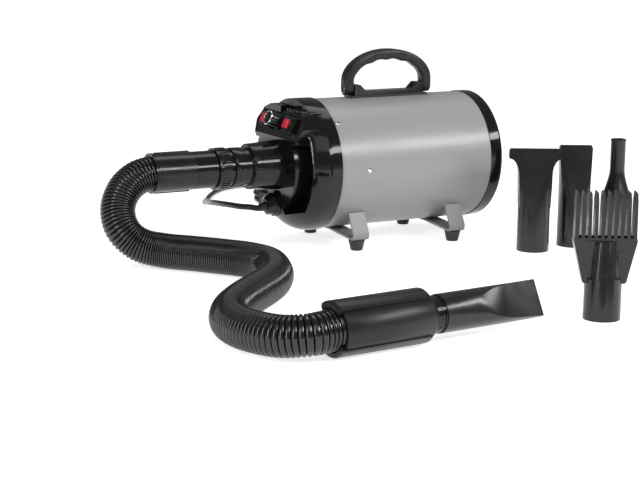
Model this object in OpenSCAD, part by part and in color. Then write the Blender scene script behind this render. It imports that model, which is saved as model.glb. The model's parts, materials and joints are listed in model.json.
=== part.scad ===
// Pet dryer: a steel barrel with a moulded front cap, a ribbed hose, a hand grip and loose nozzles.
// X runs along the barrel towards its rear, Y across it and Z up. The floor is at Z = 0.

/* [Barrel] */
// Outside diameter of the steel barrel
barrel_d = 178; // [170:1:190]
// Length of the barrel between its two caps
barrel_len = 237; // [225:1:260]
// Thickness of the barrel's sheet
barrel_t = 1.2; // [0.8:0.1:2]
// Height of the barrel's axis above the floor
axis_h = 112; // [110:1:125]

/* [Front cap] */
// How far the caps stand proud of the barrel
cap_proud = 2; // [1:0.5:3]
// Length of the cap's straight skirt
cap_skirt = 11.5; // [9:0.5:14]
// Length of the front cap, from the barrel to its face
cap_len = 55.5; // [52:0.5:60]
// Radius of the dome's rounded edge
dome_r = 45; // [43:1:50]
// Wall of the moulded caps
cap_wall = 4; // [3:0.5:5]
// Radius of the round pedestal in the middle of the cap
pedestal_r = 60; // [57:1:62]
// Outer radius of the two crescent recesses
recess_r = 79; // [76:1:81]
// How far the recess floor lies behind the cap's face
recess_depth = 27; // [20:1:30]
// Width of the bridge between the lower ends of the recesses
bridge_w = 40; // [34:1:50]
// Height of the recesses' lower ends, below the axis
recess_low = 65; // [60:1:68]
// Height of the shoulder that closes the recesses, above the axis
shoulder_z = 57; // [54:1:60]
// Height of the terrace behind the control nose, above the axis
terrace_z = 75; // [73:1:78]
// Length of the spigots that the caps push into the barrel
spigot_len = 12; // [8:1:16]

/* [Control nose] */
// Backward lean of the control panel
panel_tilt = 23; // [18:1:28]
// Distance from the barrel's front edge to the panel, at the panel's middle
panel_out = 48.5; // [46:0.5:51]
// Height of the panel's middle above the axis
panel_z = 60; // [58:1:62]
// Half width of the nose at its top edge
nose_top_w = 59; // [56:1:61]
// Half width of the nose at the shoulder
nose_mid_w = 70; // [67:1:71]
// Half width of the nose at its chin
nose_chin_w = 61; // [58:1:63]
// Height of the chin's lower edge above the axis
chin_z = 34.5; // [33:0.5:38]
// Height of the chin's upright facet
chin_h = 6.5; // [5:0.5:8]
// Thickness of the control panel
panel_t = 3; // [2:0.5:4]
// Diameter of the speed knob
knob_d = 21; // [18:1:24]
// Height of the speed knob
knob_h = 21; // [16:1:24]
// Distance of each rocker from the knob
rocker_y = 33.5; // [32:0.5:36]
// Length of a red rocker cap
rocker_l = 12.5; // [11:0.5:15]
// Width of a red rocker cap
rocker_w = 12.5; // [11:0.5:14]
// Height of a rocker frame above the panel
bezel_h = 8; // [6:0.5:10]
// Tilt of a rocker to each side
rocker_tilt = 8; // [5:1:10]

/* [Outlet] */
// Height of the outlet's axis above the barrel's axis
spout_up = 2; // [0:0.5:3]
// Radius of the spout's flange
flange_r = 33.8; // [33:0.2:36]
// Length of the spout
spout_len = 44.5; // [40:0.5:50]
// Radius of the spout at its front rim
spout_r = 31; // [30:0.5:32]
// Radius of the outlet collar
collar_r = 27.2; // [26.8:0.1:28]
// Length of the outlet collar in front of the spout
collar_len = 26; // [24:0.5:30]
// Length of the dark neck between the spout and the collar
neck_len = 9.5; // [8:0.5:11]
// Length of the groove between the collar and the lock ring
groove_len = 6.1; // [5:0.1:8]
// Radius of the knurled lock ring
ring_r = 28.3; // [27.5:0.1:29.5]
// Length of the lock ring
ring_len = 17.6; // [15:0.2:20]
// Radius of the hose cuff
cuff_r = 25.3; // [25.2:0.1:26]
// Length of the cuff between the lock ring and the sleeve
cuff_len = 31; // [28:1:36]
// Length of the rubber sleeve over the hose's end
sleeve_len = 59; // [54:1:64]

/* [Hose] */
// Outer radius of the ribbed hose
hose_r = 23; // [22:0.5:23]
// Depth of the hose's ribs
rib_depth = 2.2; // [1:0.1:2.6]
// Inner radius of the hose
hose_bore_r = 17; // [15:0.5:17.5]
// Number of ribs
rib_count = 180; // [120:1:190]
// Length of hose held in the sleeve and in the grip
hose_grip = 46; // [46:1:48]

/* [Grip and nozzle] */
// Radius of the grip
grip_r = 28; // [27:0.5:29]
// Length of the grip
grip_len = 128; // [115:1:140]
// How far the grip's two strips stand out
strip_proud = 4; // [3:0.5:5]
// Radius of the turning ring at the grip's end
end_ring_r = 21; // [20.6:0.2:22]
// Visible length of the turning ring
end_ring_len = 12.6; // [10:0.2:16]
// Outer radius of the nozzle sockets
socket_r = 22; // [21.6:0.2:23]
// Wall of the nozzles
nozzle_wall = 2; // [1.6:0.1:2.2]
// Depth of the socket that slides on the turning ring
socket_depth = 26; // [20:1:30]
// Length of the mounted flat nozzle
flat_len = 143; // [130:1:156]
// Length of the flat part of the mounted nozzle
flat_cut = 100; // [90:1:110]
// Thickness of the flat nozzles at their mouths
mouth_t = 9; // [8:0.5:12]
// Turn of the mounted nozzle about its own axis
nozzle_turn = 27; // [0:1:90]

/* [Loose nozzles] */
// Height of the wide and slim nozzles
loose_h = 140; // [130:1:150]
// Width of the wide nozzle's mouth
wide_w = 71; // [65:1:80]
// Width of the slim nozzle's mouth
slim_w = 45.5; // [45:0.5:50]
// Height of the loose nozzles' round sockets
loose_socket_h = 43; // [38:1:46]
// Radius of the cone nozzle's mouth
cone_r = 11; // [9:0.5:13]
// Length of the comb's teeth
tooth_l = 57; // [45:1:62]
// Number of comb teeth
tooth_count = 10; // [8:1:11]
// Width of the comb's head
comb_w = 73; // [68:1:80]

/* [Handle] */
// Height of the handle's pivot above the axis
pivot_z = 101; // [100:0.5:103]
// Height of the grip's top above the axis
handle_top = 153.8; // [148:0.2:160]
// Length of the handle over its legs
handle_len = 137; // [132:0.5:146]
// Thickness of the grip
handle_t = 14.4; // [12:0.2:16]
// Depth of the grip across the barrel
handle_w = 18; // [16:1:20]
// Radius of the pivot pins
pin_r = 3; // [2.5:0.1:3.5]

/* [Legs] */
// Distance of the front leg from the barrel's front edge
leg_front_in = 35; // [30:0.5:40]
// Distance of the rear leg from the barrel's rear edge
leg_rear_in = 48.2; // [40:0.2:58]
// Width of the leg strips
leg_w = 24; // [20:1:28]
// Thickness of the leg strips
leg_t = 3; // [2.5:0.5:3.5]
// Half the width over the legs
leg_reach = 80; // [78:1:84]
// Distance of each foot from the middle plane
foot_y = 68; // [64:1:70]
// Top radius of a rubber foot
foot_r = 11.5; // [10:0.5:12]
// Bottom radius of a rubber foot
foot_base_r = 8; // [7:0.5:9]

/* [Rear] */
// Length of the rear ring
rear_len = 19.5; // [16:0.5:24]
// Width of the rear ring round its opening
rear_lip = 13; // [11:1:19]
// Thickness of the foam filter
filter_t = 8; // [5:1:10]

/* [Motor and blower] */
// Space between the blower housing and the barrel
blower_in = 19; // [18:1:23]
// Length of the blower housing
blower_len = 56; // [50:1:60]
// Blades on each impeller
blade_count = 9; // [7:1:11]
// Radius of the motor shaft
shaft_r = 4; // [3.5:0.1:4.5]
// Radius of the motor frame
motor_r = 44; // [40:1:46]
// Radius of the motor's rotor
armature_r = 22; // [18:1:24]

/* [Layout] */
// Middle of the barrel, along X, from the middle of the whole set
machine_x = 33; // [27:1:39]
// Middle of the barrel, along Y, from the middle of the whole set
machine_y = 240; // [234:1:246]
// Mouth of the grip, along X, from the barrel's middle
tool_x = -380; // [-384:1:-376]
// Mouth of the grip, along Y, from the barrel's middle
tool_y = -542; // [-546:1:-538]
// Height of the grip's axis
tool_z = 30; // [29.8:0.1:31]
// Direction of the grip from the X axis
tool_turn = 5.9; // [4:0.1:8]
// Direction in which the loose nozzles face
nozzle_face = -28; // [-40:1:0]

/* [Hidden] */
$fn = 96;

// Clearances: a running fit, a push fit and a visible gap between separate pieces
run = 0.05;
fit = 0.2;
gap = 0.4;
big = 400;

front_x = -barrel_len / 2;
rear_x = barrel_len / 2;
barrel_r = barrel_d / 2;
bore_r = barrel_r - barrel_t;
inlet_r = barrel_r - rear_lip;
blower_r = barrel_r - blower_in;
leg_front_x = front_x + leg_front_in;
leg_rear_x = rear_x - leg_rear_in;
cap_r = barrel_r + cap_proud;
dome_x = front_x - cap_skirt;
face_x = front_x - cap_len;
floor_x = face_x + recess_depth;
panel_x = front_x - panel_out;
brow_x = dome_x - 18;
chin_x = panel_x + (chin_z + chin_h - panel_z) * tan(panel_tilt);

// Outlet chain, each piece placed from the one behind it
spout_x = face_x - spout_len;
collar_x = spout_x - collar_len;
ring_x = collar_x - groove_len;
cuff_x = ring_x - ring_len - gap;
sleeve_x = cuff_x - cuff_len;
sleeve_end = sleeve_x - sleeve_len;
hose_x = sleeve_end + hose_grip;
spout_bore = 28;
collar_bore = 22.5;
journal_r = 24;
cuff_bore = 19.5;
sleeve_bore = hose_r + 0.5;
flange_notch = flange_r + gap;

// Tool, measured along its own axis from the grip's mouth
ring_bore = 17 + run;
spigot_r = socket_r - nozzle_wall - run;
nozzle_x = grip_len + end_ring_len + gap;

// Handle
handle_x = -2;
leg_top = 111;
eye_r = handle_w / 2;
ear_z = 106;
base_z = pivot_z - pin_r - 1;
ear_t = 9;

// Cord, gland and plug
cord_r = 4;
gland_tilt = 12;
gland_z = -51.3;
gland_len = 17;
gland_r = 17.6;

// Row of nozzle places on the floor, from the barrel's middle
wide_at = [136, -170];
slim_at = [206, -166];
cone_at = [294, -146];
comb_at = [-14, -525];

// ---------- helpers ----------

module at_axis() {
    translate([machine_x, machine_y, axis_h]) children();
}

module at_spout() {
    translate([machine_x, machine_y, axis_h + spout_up]) children();
}

module on_panel(s = 0, y = 0) {
    translate([machine_x + panel_x, machine_y, axis_h + panel_z])
        rotate([0, panel_tilt - 90, 0])
            translate([s, y, 0]) children();
}

module at_tool() {
    translate([machine_x + tool_x, machine_y + tool_y, tool_z])
        rotate([0, 0, tool_turn]) children();
}

module at_place(p) {
    translate([machine_x + p[0], machine_y + p[1], 0]) rotate([0, 0, nozzle_face]) children();
}

// Solid turned about the X axis from a list of [x, radius] points
module turned(pts, turn = 360, start = 0) {
    rotate([start, 0, 0])
        rotate([0, 90, 0])
            rotate_extrude(angle = turn) polygon([for (p = pts) [p[1], p[0]]]);
}

// Tube along X
module tube(x0, x1, r_out, r_in) {
    turned([[x0, r_in], [x0, r_out], [x1, r_out], [x1, r_in]]);
}

// Outline in the YZ plane, drawn out along X from x0 to x1
module across(x0, x1) {
    translate([x0, 0, 0])
        rotate([90, 0, 90]) linear_extrude(x1 - x0) children();
}

function arc(cx, cy, r, a0, a1, n) =
    [for (i = [0:n]) let (a = a0 + (a1 - a0) * i / n) [cx + r * cos(a), cy + r * sin(a)]];
function mirrored(pts) = concat(pts, [for (i = [len(pts) - 1:-1:0]) [-pts[i][0], pts[i][1]]]);
function unit(v) = v / norm(v);

// Both edges of a strip of thickness t along a flat path
function strip_side(path, d) =
    [for (i = [0:len(path) - 1])
        let (a = path[max(i - 1, 0)], b = path[min(i + 1, len(path) - 1)],
             u = unit(b - a),
             v = unit(path[min(i + 1, len(path) - 1)] - path[min(i, len(path) - 2)]),
             m = d / max(u * v, 0.5))
        path[i] + [-u[1], u[0]] * m];
function strip(path, t) =
    let (a = strip_side(path, t / 2), b = strip_side(path, -t / 2))
    concat(a, [for (i = [len(b) - 1:-1:0]) b[i]]);

// Smooth curve through route points, n steps between two of them
function knot(p, i) = i < 0 ? 2 * p[0] - p[1]
    : i >= len(p) ? 2 * p[len(p) - 1] - p[len(p) - 2] : p[i];
function spline(p, n) = concat(
    [for (i = [0:len(p) - 2], k = [0:n - 1])
        let (a = knot(p, i - 1), b = p[i], c = p[i + 1], d = knot(p, i + 2), t = k / n)
        0.5 * (2 * b + (c - a) * t + (2 * a - 5 * b + 4 * c - d) * t * t
            + (3 * b - a - 3 * c + d) * t * t * t)],
    [p[len(p) - 1]]);
function lengths(p) = [for (i = 0, s = 0; i < len(p);
    s = s + (i + 1 < len(p) ? norm(p[i + 1] - p[i]) : 0), i = i + 1) s];
function column(s, p, k) = [for (i = [0:len(p) - 1]) [s[i], p[i][k]]];
function point_at(s, tables) = [for (t = tables) lookup(s, t)];

// Points of one ring of a tube, square to the direction d
function ring_at(c, d, r, sides) =
    let (u = unit(cross(d, [0, 0, 1])), v = cross(u, d))
    [for (k = [0:sides - 1]) let (a = 360 * (k + 0.5) / sides) c + r * (u * cos(a) + v * sin(a))];

// Side faces between consecutive rings, ring i starting at point first + i * sides
function side_faces(rings, sides, first, inward) =
    [for (i = [0:rings - 2], k = [0:sides - 1], h = [0, 1])
        let (a = first + i * sides + k, b = first + i * sides + (k + 1) % sides,
             f = h == 0 ? [a, b, b + sides] : [a, b + sides, a + sides])
        inward ? [f[2], f[1], f[0]] : f];
function end_fan(first, sides, back) =
    [for (k = [1:sides - 2]) back ? [first, first + k, first + k + 1]
        : [first, first + k + 1, first + k]];

// Solid tube through a list of [centre, direction] stations
module solid_tube(stations, r, sides) {
    n = len(stations);
    polyhedron(
        points = [for (s = stations) each ring_at(s[0], s[1], r, sides)],
        faces = concat(side_faces(n, sides, 0, false), end_fan(0, sides, false),
            end_fan((n - 1) * sides, sides, true)));
}

// ---------- barrel ----------

module screw_holes(angles) {
    for (a = angles)
        rotate([a, 0, 0])
            translate([screw_x, 0, bore_r - 8]) cylinder(r = screw_r + fit, h = 20, $fn = 24);
}

front_screws = [45, 180, 315];
rear_screws = [180, 300];
screw_x = front_x + spigot_len / 2;
screw_r = 2;
side_screw_x = front_x + 42.5;

module barrel() {
    color("silver") at_axis() difference() {
        tube(front_x, rear_x, barrel_r, bore_r);
        screw_holes(front_screws);
        mirror([1, 0, 0]) screw_holes(rear_screws);
        translate([side_screw_x, -barrel_r - 5, 0]) rotate([-90, 0, 0])
            cylinder(r = screw_r + fit, h = 12, $fn = 24);
        for (x = [leg_front_x, leg_rear_x])
            translate([x, 0, -barrel_r - 5]) cylinder(r = bolt_r + fit, h = 12, $fn = 24);
    }
}

// ---------- front cap ----------

dome_end = asin((cap_len - cap_skirt - 2) / dome_r);
dome_edge = cap_r - dome_r * (1 - cos(dome_end));
spigot_out = bore_r - fit;
spigot_in = spigot_out - 3;
cap_bore = 31;

module cap_shell() {
    turned(concat(
        [[front_x, cap_r]],
        [for (i = [0:14]) let (t = dome_end * i / 14)
            [dome_x - dome_r * sin(t), cap_r - dome_r * (1 - cos(t))]],
        [[face_x, dome_edge - 2], [face_x, cap_bore], [face_x + cap_wall, cap_bore],
            [face_x + cap_wall, pedestal_r - cap_wall], [floor_x + cap_wall, pedestal_r - cap_wall],
            [floor_x + cap_wall, recess_r - 3], [dome_x - 6, spigot_in - 1],
            [front_x, spigot_in], [front_x + spigot_len, spigot_in],
            [front_x + spigot_len, spigot_out], [front_x, spigot_out]]));
}

// Channel of the crescent recesses, with a rounded outer lip
module recess_channel() {
    far = recess_r + 20;
    low = [[bridge_w / 2, -recess_low], [far, 0.23 * (far - bridge_w / 2) - recess_low]];
    intersection() {
        turned(concat(
            [[floor_x, pedestal_r], [floor_x, recess_r + 0.5], [floor_x - 6, recess_r]],
            [for (p = arc(floor_x - 7, recess_r + 6, 6, 270, 190, 6)) p],
            [[face_x - 20, recess_r + 6], [face_x - 20, pedestal_r]]));
        for (m = [0, 1]) mirror([0, m, 0])
            across(-big, 0) polygon(concat(low, [[far, shoulder_z], [bridge_w / 2, shoulder_z]]));
    }
}

// Outline of the nose from the front, inset by d
function nose_outline(d) = mirrored([
    [nose_chin_w - 2 - d, chin_z + d], [nose_chin_w - d, chin_z + 3.5 + d / 2],
    [nose_mid_w - d * 1.1, shoulder_z], [nose_top_w - d, terrace_z - d]]);

// Everything in front of a plane a depth behind the panel's face, up the slope from low
module nose_front(depth, low = -big / 2) {
    translate([panel_x, 0, panel_z])
        rotate([0, panel_tilt - 90, 0])
            translate([low, -big / 2, -depth]) cube([big, big, big]);
}

module nose_block(x0, d) {
    across(x0, floor_x + 2) polygon(nose_outline(d));
}

module hood() {
    across(panel_x + 3.5, brow_x)
        polygon([[6, terrace_z - 2], [6, terrace_z + 6.5], [37, terrace_z + 6.5],
            [nose_top_w, terrace_z - 1.5], [nose_top_w, terrace_z - 2]]);
}

// Slope that leads from the chin back to the pedestal
module apron() {
    intersection() {
        across(chin_x, face_x + 2) circle(r = pedestal_r);
        rotate([90, 0, 0]) translate([0, 0, 2 - nose_chin_w]) linear_extrude(2 * nose_chin_w - 4)
            polygon([[chin_x, chin_z + 2], [chin_x, chin_z], [face_x, chin_z - 22],
                [face_x + 2, chin_z - 22], [face_x + 2, chin_z + 2]]);
    }
}

module above(z) {
    translate([-big, -big / 2, z]) cube([2 * big, big, big]);
}

module front_cap() {
    color("#1c1c1e") at_axis() difference() {
        union() {
            difference() {
                union() {
                    difference() {
                        cap_shell();
                        recess_channel();
                        translate([brow_x - big, 0, 0]) above(terrace_z);
                    }
                    nose_block(chin_x, 0);
                }
                intersection() {
                    nose_front(0);
                    above(chin_z);
                }
            }
            apron();
            hood();
            translate([face_x, 0, gland_z]) across(0, 12) circle(r = gland_r + 1);
            intersection() {
                tube(brow_x, dome_x + 1, cap_r, recess_r);
                above(terrace_z);
            }
        }
        intersection() {
            nose_block(chin_x + cap_wall, cap_wall);
            nose_front(panel_t + 15);
        }
        intersection() {
            nose_block(chin_x - 1, cap_wall - 1);
            nose_front(panel_t, on_face(chin_z + chin_h) - fit);
        }
        translate([0, 0, spout_up]) across(face_x - 40, face_x) circle(r = flange_notch);
        translate([0, 0, spout_up]) across(face_x - 1, face_x + 20) circle(r = cap_bore);
        gland_bore();
        screw_holes(front_screws);
    }
}

module gland_bore() {
    translate([face_x - 1, 0, gland_z])
        rotate([0, 90, 0]) cylinder(r = 7 + fit, h = 20);
}

// ---------- control panel ----------

function on_face(z) = (z - panel_z) / cos(panel_tilt);

module control_panel() {
    rim = cap_wall - 0.2;
    low = chin_z + chin_h;
    color("#26262a") difference() {
        on_panel() translate([0, 0, -panel_t + 0.05]) linear_extrude(panel_t - 0.05)
            polygon([for (p = nose_outline(rim)) [max(on_face(p[1]), on_face(low)), p[0]]]);
        on_panel(knob_s, 0) translate([0, 0, -10]) cylinder(r = knob_shaft_r + 0.8, h = 20);
        for (y = [-rocker_y, rocker_y])
            on_panel(rocker_s, y) translate([-rocker_w / 2 - 1, -rocker_l / 2 - 1.5, -10])
                cube([rocker_w + 2, rocker_l + 3, 20]);
    }
}

knob_s = -0.5;
rim_h = 2;
rocker_s = -1;
knob_shaft_r = 3;

module vent_louvres() {
    color("#141416") at_axis() {
        translate([brow_x - 11, -nose_top_w + 9, terrace_z]) cube([10.6, nose_top_w - 5, 1]);
        for (i = [0:6])
            translate([brow_x - 10.5, -nose_top_w + 11 + i * 7, terrace_z])
                cube([9.6, 3, 4]);
    }
}

module bezel() {
    difference() {
        union() {
            translate([-11, -17, 0]) cube([22, 34, bezel_h * 0.35]);
            translate([-10, -14.5, 0]) cube([20, 29, bezel_h * 0.65]);
            translate([-rocker_w / 2 - 2, -rocker_l / 2 - 3, -panel_t - 6])
                cube([rocker_w + 4, rocker_l + 6, bezel_h + panel_t + 6]);
        }
        translate([-rocker_w / 2 - gap, -rocker_l / 2 - 1.4, -panel_t - 7])
            cube([rocker_w + 2 * gap, rocker_l + 2.8, bezel_h + panel_t + 20]);
        rocker_pin(pivot_r + run, 1.6);
    }
}

pivot_r = 1.2;

// Pin along the panel's slope on which a rocker tips, standing out at both ends
module rocker_pin(r, out) {
    translate([-rocker_w / 2 - out, 0, bezel_h - 2]) rotate([0, 90, 0])
        cylinder(r = r, h = rocker_w + 2 * out, $fn = 32);
}

module switch_bezels() {
    color("#101012") for (y = [-rocker_y, rocker_y]) difference() {
        on_panel(rocker_s, y) bezel();
        on_panel(rocker_s, y) difference() {
            translate([-30, -30, -panel_t - 10]) cube([60, 60, panel_t + 10]);
            translate([-rocker_w / 2 - 1 + fit, -rocker_l / 2 - 1.5 + fit, -30])
                cube([rocker_w + 2 - 2 * fit, rocker_l + 3 - 2 * fit, 60]);
        }
    }
}

// Rocker cap, turned about a line along the panel's slope
module rocker(side) {
    on_panel(rocker_s, side * rocker_y) {
        rocker_pin(pivot_r, 1.4);
        translate([-rocker_w / 2, 0, bezel_h - 2])
            rotate([-rocker_tilt, 0, 0])
                rotate([90, 0, 90]) linear_extrude(rocker_w)
                    polygon([[-rocker_l / 2 + 1, -4], [rocker_l / 2 - 1, -4],
                        [rocker_l / 2, 0], [rocker_l / 2, 4.6], [rocker_l / 2 - 1, 5.4],
                        [rocker_l / 4, 4.2], [0, 3.7], [-rocker_l / 4, 4.2],
                        [-rocker_l / 2 + 1, 5.4], [-rocker_l / 2, 4.6], [-rocker_l / 2, 0]]);
    }
}

module power_rocker() {
    color("#c8202c") rocker(1);
}

module heat_rocker() {
    color("#c8202c") rocker(-1);
}

module switch_bodies() {
    color("#18181a") for (y = [-rocker_y, rocker_y])
        on_panel(rocker_s, y) translate([-rocker_w / 2, -rocker_l / 2, -panel_t - 10])
            cube([rocker_w, rocker_l, 9]);
}

module speed_knob() {
    color("#151517") on_panel(knob_s, 0) difference() {
        union() {
            translate([0, 0, gap]) cylinder(r = knob_d / 2, h = 3);
            cylinder(r = knob_d / 2 - 1.2, h = knob_h - 1);
        }
        translate([0, 0, -1]) cylinder(r = knob_d / 2 + 1, h = 1 + gap);
        translate([0, 0, -2]) cylinder(r = knob_shaft_r, h = knob_h - 4);
        for (a = [0:30:359])
            rotate([0, 0, a]) translate([knob_d / 2 - 0.4, 0, 4])
                cylinder(r = 1.6, h = knob_h, $fn = 16);
        translate([0, 0, knob_h - rim_h]) difference() {
            cylinder(r = knob_d / 2 + 2, h = rim_h);
            cylinder(r = knob_d / 2 - 1.8, h = rim_h);
        }
    }
}

module knob_rim() {
    color("#d8d8dc") on_panel(knob_s, 0) translate([0, 0, knob_h - rim_h]) rotate_extrude()
        polygon([[knob_d / 2 - 1.8, 0], [knob_d / 2 - 0.4, 0], [knob_d / 2 - 0.4, rim_h - 0.7],
            [knob_d / 2 - 0.9, rim_h], [knob_d / 2 - 1.8, rim_h]]);
}

module knob_shaft() {
    color("#a8a8ac") on_panel(knob_s, 0) translate([0, 0, -panel_t - 12])
        cylinder(r = knob_shaft_r, h = panel_t + 12 + knob_h - 6);
}

module speed_control() {
    color("#3a3a3e") on_panel(knob_s, 0) difference() {
        union() {
            translate([0, 0, -panel_t - 11]) cylinder(r = 8, h = 8);
            translate([0, 0, -panel_t - 3.1]) cylinder(r = knob_shaft_r + 0.7, h = panel_t + 2);
        }
        translate([0, 0, -panel_t - 13]) cylinder(r = knob_shaft_r + run, h = 30);
    }
}

module control_board() {
    color("#1f5a38") on_panel(0, 0) difference() {
        translate([-13, -48, -panel_t - 12.6]) cube([26, 96, 1.6]);
        translate([knob_s, 0, -panel_t - 14]) cylinder(r = knob_shaft_r + 1, h = 6);
    }
}

// ---------- outlet ----------

module outlet_spout() {
    color("#1c1c1e") at_spout() turned([
        [face_x + 6, spout_bore], [face_x + 6, cap_bore - fit], [face_x, cap_bore - fit],
        [face_x, flange_r], [face_x - 2, flange_r], [face_x - 14, flange_r - 0.9],
        [spout_x + 12, spout_r + 0.6], [spout_x + 1, spout_r], [spout_x, spout_r - 0.8],
        [spout_x, spout_bore]]);
}

module outlet_collar() {
    color("#161618") at_spout() turned([
        [spout_x + 14, collar_bore], [spout_x + 14, spout_bore - fit], [spout_x, spout_bore - fit],
        [spout_x, spout_bore - 2], [spout_x - neck_len, spout_bore - 2],
        [spout_x - neck_len, collar_r - 0.5], [spout_x - neck_len - 0.5, collar_r],
        [collar_x + 0.5, collar_r], [collar_x, collar_r - 0.5],
        [collar_x, journal_r + 0.5], [collar_x + 12, journal_r + 0.5], [collar_x + 12, collar_bore]]);
}

module lock_ring() {
    color("#202022") at_spout() difference() {
        union() {
            tube(ring_x - ring_len, ring_x, ring_r - 0.9, journal_r + run);
            tube(ring_x - ring_len, ring_x - ring_len + 5, ring_r, journal_r + run);
            for (a = [0:10:359])
                rotate([a, 0, 0]) translate([ring_x - ring_len + 4, -1.2, ring_r - 1.6])
                    cube([ring_len - 5, 2.4, 1.6]);
        }
    }
}

module hose_cuff() {
    color("#1a1a1c") at_spout() turned([
        [collar_x + 11.5, cuff_bore], [collar_x + 11.5, journal_r + 0.3],
        [collar_x - gap, journal_r + 0.3], [collar_x - gap, cuff_r - 0.3],
        [ring_x + gap, cuff_r - 0.3], [ring_x + gap, journal_r], [cuff_x, journal_r],
        [cuff_x, cuff_r], [sleeve_x + gap, cuff_r], [sleeve_x + gap, sleeve_bore - fit],
        [hose_x, sleeve_bore - fit], [hose_x, cuff_bore]]);
}

module hose_sleeve() {
    color("#1e1e20") at_spout() {
        turned([[sleeve_x, sleeve_bore], [sleeve_x, cuff_r], [sleeve_x - 16, cuff_r + 0.6],
            [sleeve_end + 4, cuff_r + 0.6], [sleeve_end + 3, cuff_r + 1.5],
            [sleeve_end, cuff_r + 1.5], [sleeve_end, sleeve_bore]]);
        for (a = [0, 180])
            rotate([a, 0, 0]) translate([sleeve_end + 6, -3, cuff_r])
                cube([sleeve_len - 10, 6, 1.8]);
    }
}

// ---------- hose ----------

function from_tool(s) = [tool_x + s * cos(tool_turn), tool_y + s * sin(tool_turn), tool_z];

hose_start_z = axis_h + spout_up;
hose_route = concat(
    [[hose_x, 0, hose_start_z], [hose_x - 23, 0, hose_start_z], [sleeve_end - 1, -1, hose_start_z],
        [-381, -4, 108.5], [-400, -10, 94.5], [-411.5, -19, 73], [-410.5, -34, 49.3],
        [-393.5, -48, 31], [-367, -66, 24], [-338, -96, 23.2], [-310.5, -131, 23.2],
        [-291, -160, 23.2], [-282, -198, 23.2], [-294, -240, 23.2], [-311.5, -272, 23.2],
        [-333.5, -298, 23.2], [-364.5, -328, 23.2], [-398.5, -362, 23.2], [-426.5, -397, 23.2],
        [-443, -431, 23.2], [-446.5, -462, 23.3], [-441, -493, 23.9], [-427.5, -524, 25.4],
        [-405, -541.5, 28.2]],
    [for (s = [0, 23, 60]) from_tool(s)]);

hose_points = [for (p = spline(hose_route, 8)) p + [machine_x, machine_y, 0]];
hose_s = lengths(hose_points);
hose_len = hose_s[len(hose_s) - 1];
hose_tables = [for (k = [0:2]) column(hose_s, hose_points, k)];
function hose_dir(s) = unit(point_at(min(s + 6, hose_len), hose_tables)
    - point_at(max(s - 6, 0), hose_tables));

// Least gap between the stations of a tube that lie more than 1.7 diameters apart along it
function self_gap(stations, s, r) =
    min([for (i = [0:len(s) - 1], j = [i:len(s) - 1])
        if (s[j] - s[i] > 3.4 * r) norm(stations[j][0] - stations[i][0])]) - 2 * r;

module hose() {
    rings = 2 * rib_count;
    inner = rib_count / 2;
    sides = 8;
    outer_s = [for (i = [0:rings - 1]) hose_len * i / (rings - 1)];
    inner_s = [for (i = [0:inner - 1]) hose_len * i / (inner - 1)];
    outer_pts = [for (i = [0:rings - 1])
        each ring_at(point_at(outer_s[i], hose_tables), hose_dir(outer_s[i]),
            hose_r - (i % 2) * rib_depth, sides)];
    inner_pts = [for (s = inner_s)
        each ring_at(point_at(s, hose_tables), hose_dir(s), hose_bore_r, sides)];
    n = len(outer_pts);
    m = len(inner_pts);
    ends = [for (k = [0:sides - 1]) let (j = (k + 1) % sides) each [
        [k, n + k, n + j], [k, n + j, j],
        [n - sides + j, n + m - sides + j, n + m - sides + k],
        [n - sides + j, n + m - sides + k, n - sides + k]]];
    check = [for (i = [0:4:rings - 1]) [point_at(outer_s[i], hose_tables), 0]];
    echo(hose_length = hose_len,
        hose_least_gap_to_itself = self_gap(check, [for (i = [0:4:rings - 1]) outer_s[i]], hose_r));
    color("#222224") polyhedron(points = concat(outer_pts, inner_pts), faces = concat(
        side_faces(rings, sides, 0, false), side_faces(inner, sides, n, true), ends));
}

// ---------- grip and nozzles ----------

module grip_sleeve() {
    color("#2a2a2c") at_tool() {
        turned([[6, hose_r + 0.5], [6, grip_r - 1.5], [8, grip_r], [grip_len - 8, grip_r],
            [grip_len - 1, socket_r + 1], [grip_len, socket_r], [grip_len, 17],
            [grip_len + end_ring_len - 0.5, 17], [grip_len + end_ring_len - 0.5, 14.5],
            [grip_len - 4, 14.5], [64, cuff_bore], [60, cuff_bore], [60, hose_r + 0.5]]);
        for (strip = [[143, 74, strip_proud], [306, 108, tool_z - grip_r - 0.6]])
            turned([[0, hose_r + 1], [0, grip_r], [2, grip_r + strip[2]],
                [grip_len - 10, grip_r + strip[2]], [grip_len - 2, grip_r - 4],
                [grip_len - 9, grip_r - 4], [10, grip_r - 4], [6, hose_r + 1]], strip[1], strip[0]);
    }
}

module end_ring() {
    color("#242426") at_tool() difference() {
        turned([[grip_len + gap, ring_bore], [grip_len + gap, end_ring_r],
            [grip_len + end_ring_len - 3, end_ring_r], [grip_len + end_ring_len - 3, end_ring_r - 1],
            [grip_len + end_ring_len - 1.6, end_ring_r - 1], [grip_len + end_ring_len - 1.6, end_ring_r],
            [grip_len + end_ring_len, end_ring_r], [grip_len + end_ring_len, spigot_r],
            [nozzle_x + socket_depth - 2, spigot_r], [nozzle_x + socket_depth - 1, spigot_r - 0.8],
            [nozzle_x + socket_depth - 1, ring_bore]]);
        for (a = [0:30:359])
            rotate([a, 0, 0]) translate([grip_len + 3, -0.8, end_ring_r - 0.8]) cube([3.6, 1.6, 2]);
    }
}

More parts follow.
